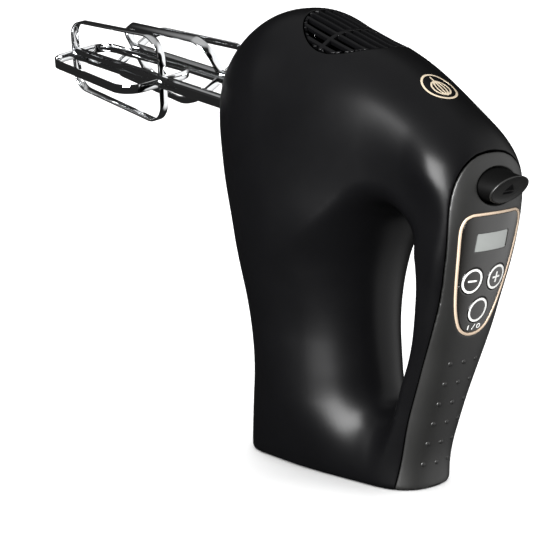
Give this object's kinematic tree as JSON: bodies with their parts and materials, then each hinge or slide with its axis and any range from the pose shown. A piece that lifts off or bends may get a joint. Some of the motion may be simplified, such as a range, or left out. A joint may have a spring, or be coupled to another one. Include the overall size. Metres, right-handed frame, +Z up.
{
  "type": "hand mixer",
  "caption": "Upright hand mixer with a finger opening, control strip with display and keys, vent grille, eject button and loop beaters.",
  "frame": {"origin": "middle of the heel face that the mixer stands on", "axes": "+Z up from the heel to the vent, -X the way the beaters point, +X the grip and its controls, Y across the body"},
  "size_m": [0.2849, 0.085, 0.2105],
  "materials": {
    "black_plastic": "satin, fine moulded grain",
    "grip_plastic": "soft-touch dark grey",
    "panel_gloss": "gloss",
    "rose_trim": "polished rose metal",
    "display": "clear lens over a grey display",
    "chrome": "polished",
    "steel": "plated",
    "lamination": "stacked sheets",
    "copper": "enamelled wire",
    "bronze": "sintered",
    "nylon": "natural",
    "gearbox_plastic": "moulded",
    "carbon": "matt",
    "board": "solder resist",
    "rubber": "matt"
  },
  "bodies": {
    "housing": {"upper_housing": "black_plastic", "underside_cover": "black_plastic", "grip_cover": "grip_plastic", "vent_grille": "black_plastic", "cord_gland": "rubber", "cover_screw_1": "steel", "cover_screw_2": "steel", "cover_screw_3": "steel", "cover_screw_4": "steel", "control_panel": "panel_gloss", "panel_trim": "rose_trim", "lcd_display": "display", "control_pcb": "board", "gearbox_frame": "gearbox_plastic", "spindle_plate": "gearbox_plastic", "spindle_bush_left": "bronze", "spindle_bush_right": "bronze", "stator_core": "lamination", "field_coil_front": "copper", "field_coil_back": "copper", "motor_bracket_upper": "steel", "motor_bracket_lower": "steel", "bush_upper": "bronze", "bush_lower": "bronze", "bush_worm_end": "bronze", "brush_holder_front": "gearbox_plastic", "brush_holder_back": "gearbox_plastic", "carbon_brush_front": "carbon", "carbon_brush_back": "carbon", "eject_spring": "steel"},
    "motor": {"armature_shaft": "steel", "armature_core": "lamination", "armature_winding_upper": "copper", "armature_winding_lower": "copper", "commutator": "copper", "cooling_fan": "nylon"},
    "gear_left": {"drive_gear_left": "nylon"},
    "gear_right": {"drive_gear_right": "nylon"},
    "beater_left": {"beater_left_shaft": "chrome", "beater_left_loop_a": "chrome", "beater_left_loop_b": "chrome"},
    "beater_right": {"beater_right_shaft": "chrome", "beater_right_loop_a": "chrome", "beater_right_loop_b": "chrome"},
    "ejector": {"eject_button": "grip_plastic", "ejector_rod": "steel", "ejector_yoke": "nylon"},
    "key_minus": {"button_minus": "panel_gloss"},
    "key_plus": {"button_plus": "panel_gloss"},
    "key_power": {"button_power": "panel_gloss"}
  },
  "joints": [
    {"name": "motor_spin", "type": "hinge", "parent": "housing", "child": "motor", "pos_m": [-0.018, 0, 0.1568], "axis": [0.1357, 0, 0.9907], "continuous": true},
    {"name": "gear_left_spin", "type": "hinge", "parent": "housing", "child": "gear_left", "pos_m": [-0.018, -0.0194, 0.1568], "axis": [-0.9907, 0, 0.1357], "continuous": true},
    {"name": "gear_right_spin", "type": "hinge", "parent": "housing", "child": "gear_right", "pos_m": [-0.018, 0.0194, 0.1568], "axis": [-0.9907, 0, 0.1357], "continuous": true},
    {"name": "eject_press", "type": "slide", "parent": "housing", "child": "ejector", "axis": [-0.9907, 0, 0.1357], "range_m": [0, 0.008], "stiffness_N_per_m": 600, "deforming": ["eject_spring"]},
    {"name": "beater_left_slide", "type": "slide", "parent": "gear_left", "child": "beater_left", "axis": [-0.9907, 0, 0.1357], "range_m": [0, 0.008]},
    {"name": "beater_right_slide", "type": "slide", "parent": "gear_right", "child": "beater_right", "axis": [-0.9907, 0, 0.1357], "range_m": [0, 0.008]},
    {"name": "minus_press", "type": "slide", "parent": "housing", "child": "key_minus", "axis": [-0.9654, 0, 0.2607], "range_m": [0, 0.0008], "stiffness_N_per_m": 1500},
    {"name": "plus_press", "type": "slide", "parent": "housing", "child": "key_plus", "axis": [-0.9654, 0, 0.2607], "range_m": [0, 0.0008], "stiffness_N_per_m": 1500},
    {"name": "power_press", "type": "slide", "parent": "housing", "child": "key_power", "axis": [-0.9654, 0, 0.2607], "range_m": [0, 0.0008], "stiffness_N_per_m": 1500}
  ],
  "couplings": [
    {"joint": "gear_left_spin", "follows": "motor_spin", "ratio": 0.033333},
    {"joint": "gear_right_spin", "follows": "motor_spin", "ratio": -0.033333},
    {"joint": "beater_left_slide", "follows": "eject_press", "ratio": 1},
    {"joint": "beater_right_slide", "follows": "eject_press", "ratio": 1}
  ]
}
